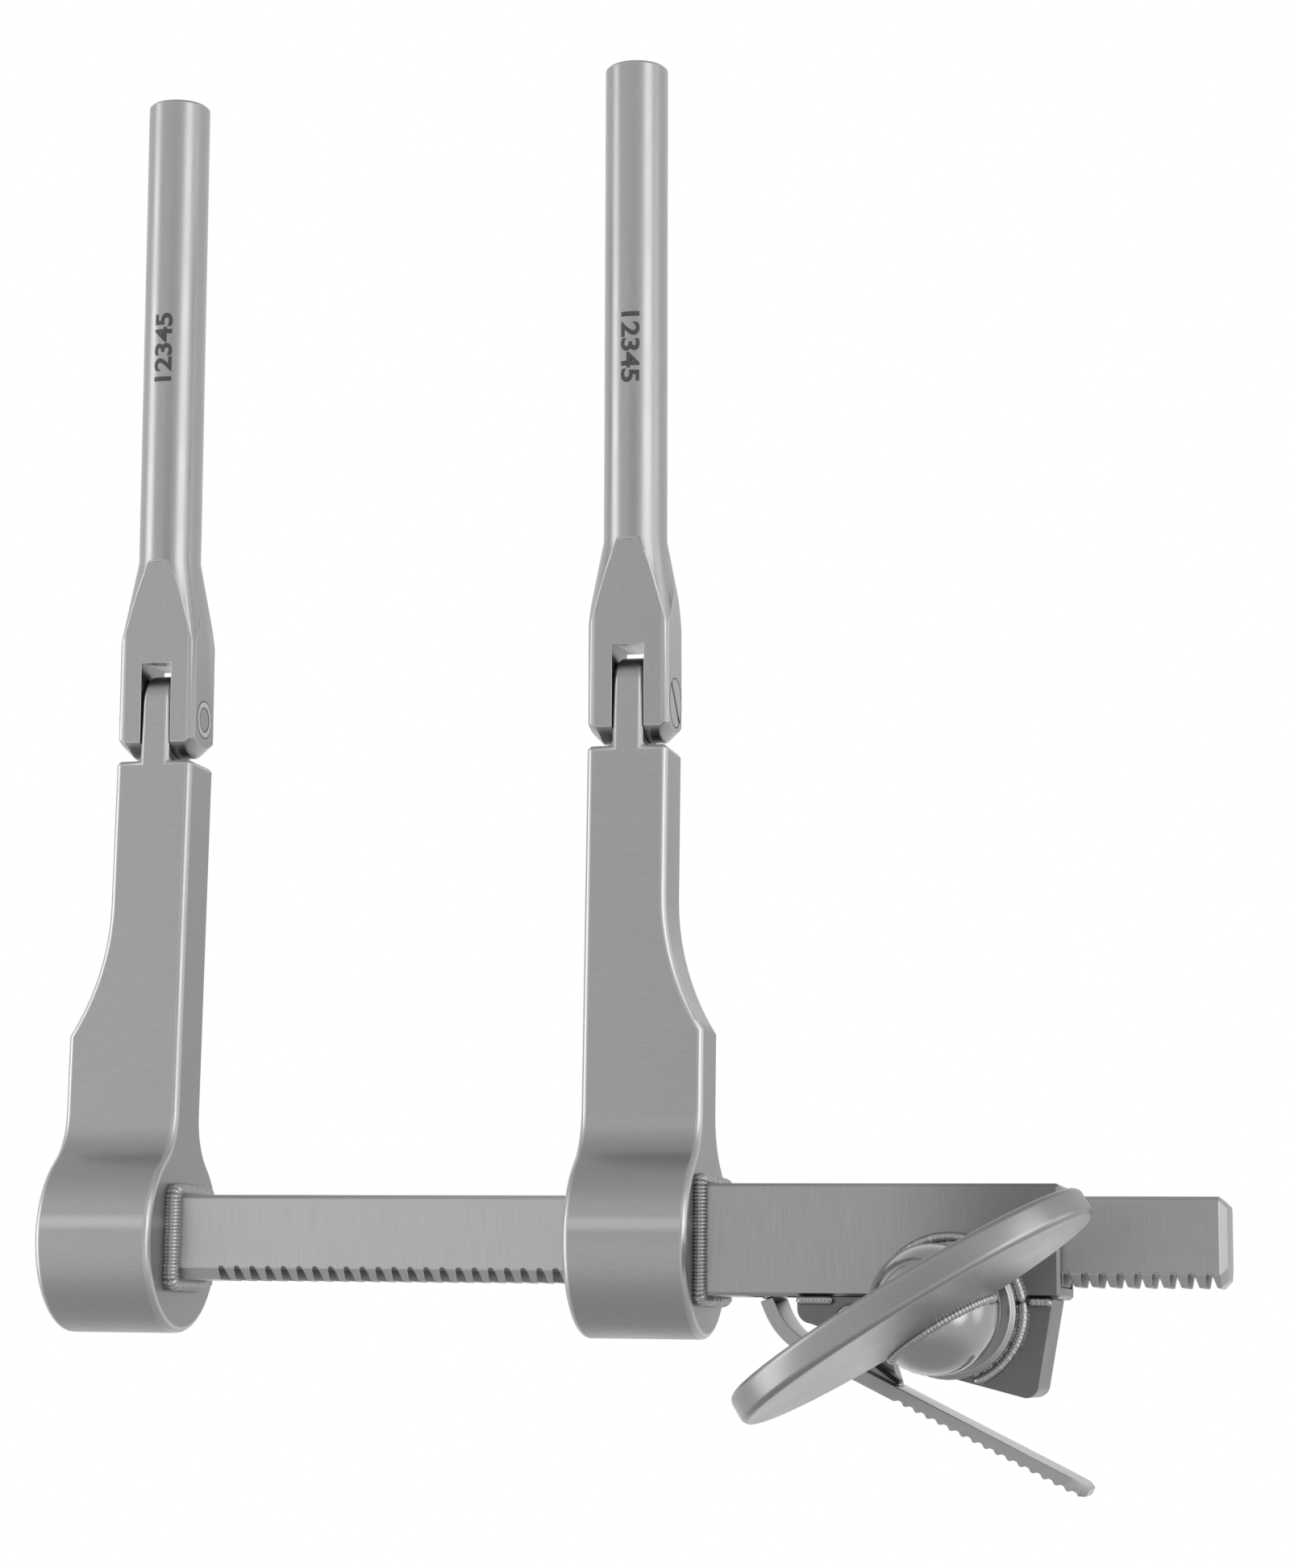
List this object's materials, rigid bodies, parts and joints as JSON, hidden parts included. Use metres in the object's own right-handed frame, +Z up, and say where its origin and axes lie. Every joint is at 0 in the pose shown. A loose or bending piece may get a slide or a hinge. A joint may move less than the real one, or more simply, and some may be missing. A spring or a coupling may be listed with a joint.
{
  "type": "vertebral spreader",
  "caption": "Steel spreader for the spine: a rack bar with a fixed arm, a geared sliding arm with thumb key and release lever, and a hinged tubular post on each arm.",
  "frame": {"origin": "centre of the flat outer face of the left arm's boss, on the rack bar's axis", "axes": "+X along the rack bar towards its free end, +Z up the arms and posts, -Y the front, where the thumb key stands"},
  "size_m": [0.1114, 0.0455, 0.1367],
  "materials": {
    "satin_steel": "satin",
    "polished_steel": "polished",
    "bright_steel": "bright",
    "weld_steel": "as welded",
    "spring_steel": "blackened"
  },
  "bodies": {
    "rack_frame": {"left_arm": "satin_steel", "rack_bar": "satin_steel", "rack_weld": "weld_steel"},
    "left_post": {"left_post": "satin_steel", "left_hinge_screw": "bright_steel"},
    "carriage": {"right_arm": "satin_steel", "sleeve": "satin_steel", "sleeve_weld": "weld_steel", "gear_housing": "satin_steel", "housing_weld_left": "weld_steel", "housing_weld_right": "weld_steel", "bearing_boss": "polished_steel", "bearing_weld": "weld_steel", "bearing_weld_lower": "weld_steel", "lever_pin": "bright_steel", "pawl_spring": "spring_steel"},
    "right_post": {"right_post": "satin_steel", "right_hinge_screw": "bright_steel"},
    "key": {"pinion": "bright_steel", "key_hub": "polished_steel", "key_plate": "satin_steel", "key_cross_pin": "bright_steel"},
    "pawl": {"release_lever": "satin_steel", "lever_ear": "satin_steel", "pawl_nose": "bright_steel"}
  },
  "joints": [
    {"name": "carriage_slide", "type": "slide", "parent": "rack_frame", "child": "carriage", "axis": [1, 0, 0], "range_m": [-0.0377, 0.01885]},
    {"name": "key_spin", "type": "hinge", "parent": "carriage", "child": "key", "pos_m": [0.08698, -0.0073, -0.00625], "axis": [0, 1, 0], "range_deg": [-395, 790]},
    {"name": "lever_tilt", "type": "hinge", "parent": "carriage", "child": "pawl", "pos_m": [0.07811, 0, -0.00735], "axis": [0, -1, 0], "range_deg": [-5, 8], "stiffness_Nm_per_rad": 0.1, "deforming": ["pawl_spring"]},
    {"name": "left_post_tilt", "type": "hinge", "parent": "rack_frame", "child": "left_post", "pos_m": [0.00773, 0, 0.051], "axis": [1, 0, 0], "range_deg": [-92, 87]},
    {"name": "right_post_tilt", "type": "hinge", "parent": "carriage", "child": "right_post", "pos_m": [0.05587, 0, 0.051], "axis": [1, 0, 0], "range_deg": [-92, 87]}
  ],
  "couplings": [
    {"joint": "key_spin", "follows": "carriage_slide", "rad_per_m": -363.64}
  ]
}
